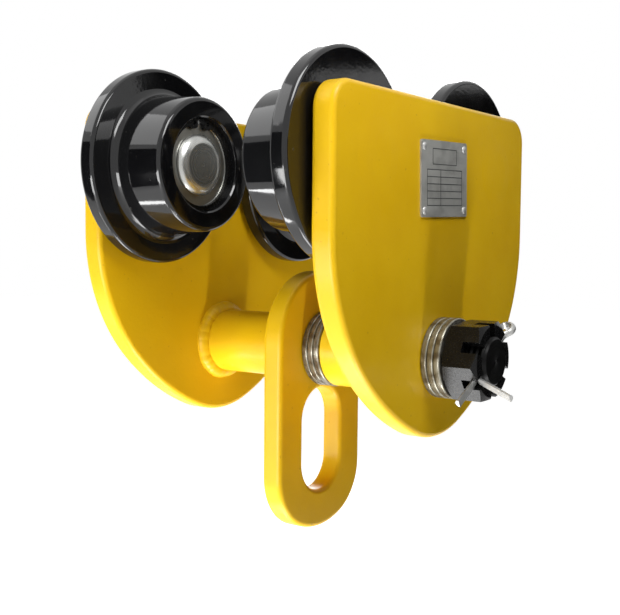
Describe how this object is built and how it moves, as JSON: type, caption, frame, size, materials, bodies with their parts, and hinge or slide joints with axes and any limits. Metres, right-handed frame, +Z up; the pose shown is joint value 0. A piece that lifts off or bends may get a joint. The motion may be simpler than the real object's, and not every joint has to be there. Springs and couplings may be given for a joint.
{
  "type": "manual beam trolley",
  "caption": "Push-type beam trolley: side plates with flanged ball-bearing wheels run on a beam's lower flange, joined by a load shaft that carries a swinging hanger for a hoist hook.",
  "frame": {"origin": "midway between the side plates and between the axles, on the plane where the treads roll on the upper side of the beam's lower flange", "axes": "+X along the load shaft towards its nut, +Y along the beam, +Z up"},
  "size_m": [0.2032, 0.219, 0.2425],
  "materials": {
    "yellow_paint": "gloss",
    "black_wheel": "gloss",
    "zinc_plate": "satin",
    "black_oxide": "satin",
    "bright_steel": "bright",
    "brass_cage": "satin",
    "data_plate_metal": "brushed"
  },
  "bodies": {
    "frame": {"left_side_plate": "yellow_paint", "right_side_plate": "yellow_paint", "load_shaft": "yellow_paint", "spacer_sleeve": "yellow_paint", "left_inner_washers": "zinc_plate", "right_inner_washers": "zinc_plate", "outer_washers": "zinc_plate", "slotted_nut": "black_oxide", "split_pin": "bright_steel", "data_plate": "data_plate_metal", "data_plate_rivets": "bright_steel", "left_front_axle": "bright_steel", "left_front_bearing_inner_ring": "bright_steel", "left_rear_axle": "bright_steel", "left_rear_bearing_inner_ring": "bright_steel", "right_front_axle": "bright_steel", "right_front_bearing_inner_ring": "bright_steel", "right_rear_axle": "bright_steel", "right_rear_bearing_inner_ring": "bright_steel"},
    "hanger": {"hanger": "yellow_paint"},
    "left_front_wheel": {"left_front_wheel": "black_wheel", "left_front_bearing_outer_ring": "bright_steel", "left_front_bearing_shields": "bright_steel", "left_front_retaining_ring": "black_oxide"},
    "left_front_cage": {"left_front_bearing_balls": "bright_steel", "left_front_bearing_cage": "brass_cage"},
    "left_rear_wheel": {"left_rear_wheel": "black_wheel", "left_rear_bearing_outer_ring": "bright_steel", "left_rear_bearing_shields": "bright_steel", "left_rear_retaining_ring": "black_oxide"},
    "left_rear_cage": {"left_rear_bearing_balls": "bright_steel", "left_rear_bearing_cage": "brass_cage"},
    "right_front_wheel": {"right_front_wheel": "black_wheel", "right_front_bearing_outer_ring": "bright_steel", "right_front_bearing_shields": "bright_steel", "right_front_retaining_ring": "black_oxide"},
    "right_front_cage": {"right_front_bearing_balls": "bright_steel", "right_front_bearing_cage": "brass_cage"},
    "right_rear_wheel": {"right_rear_wheel": "black_wheel", "right_rear_bearing_outer_ring": "bright_steel", "right_rear_bearing_shields": "bright_steel", "right_rear_retaining_ring": "black_oxide"},
    "right_rear_cage": {"right_rear_bearing_balls": "bright_steel", "right_rear_bearing_cage": "brass_cage"}
  },
  "joints": [
    {"name": "hanger_swing", "type": "hinge", "parent": "frame", "child": "hanger", "pos_m": [0, 0, -0.059], "axis": [1, 0, 0], "range_deg": [-90, 90]},
    {"name": "left_front_wheel_spin", "type": "hinge", "parent": "frame", "child": "left_front_wheel", "pos_m": [-0.0374, -0.0595, 0.036], "axis": [1, 0, 0], "continuous": true},
    {"name": "left_front_cage_orbit", "type": "hinge", "parent": "frame", "child": "left_front_cage", "pos_m": [-0.0374, -0.0595, 0.036], "axis": [1, 0, 0], "continuous": true},
    {"name": "left_rear_wheel_spin", "type": "hinge", "parent": "frame", "child": "left_rear_wheel", "pos_m": [-0.0374, 0.0595, 0.036], "axis": [1, 0, 0], "continuous": true},
    {"name": "left_rear_cage_orbit", "type": "hinge", "parent": "frame", "child": "left_rear_cage", "pos_m": [-0.0374, 0.0595, 0.036], "axis": [1, 0, 0], "continuous": true},
    {"name": "right_front_wheel_spin", "type": "hinge", "parent": "frame", "child": "right_front_wheel", "pos_m": [0.0374, -0.0595, 0.036], "axis": [1, 0, 0], "continuous": true},
    {"name": "right_front_cage_orbit", "type": "hinge", "parent": "frame", "child": "right_front_cage", "pos_m": [0.0374, -0.0595, 0.036], "axis": [1, 0, 0], "continuous": true},
    {"name": "right_rear_wheel_spin", "type": "hinge", "parent": "frame", "child": "right_rear_wheel", "pos_m": [0.0374, 0.0595, 0.036], "axis": [1, 0, 0], "continuous": true},
    {"name": "right_rear_cage_orbit", "type": "hinge", "parent": "frame", "child": "right_rear_cage", "pos_m": [0.0374, 0.0595, 0.036], "axis": [1, 0, 0], "continuous": true}
  ],
  "couplings": [
    {"joint": "left_front_cage_orbit", "follows": "left_front_wheel_spin", "ratio": 0.61791},
    {"joint": "left_rear_cage_orbit", "follows": "left_rear_wheel_spin", "ratio": 0.61791},
    {"joint": "right_front_cage_orbit", "follows": "right_front_wheel_spin", "ratio": 0.61791},
    {"joint": "right_rear_cage_orbit", "follows": "right_rear_wheel_spin", "ratio": 0.61791}
  ]
}
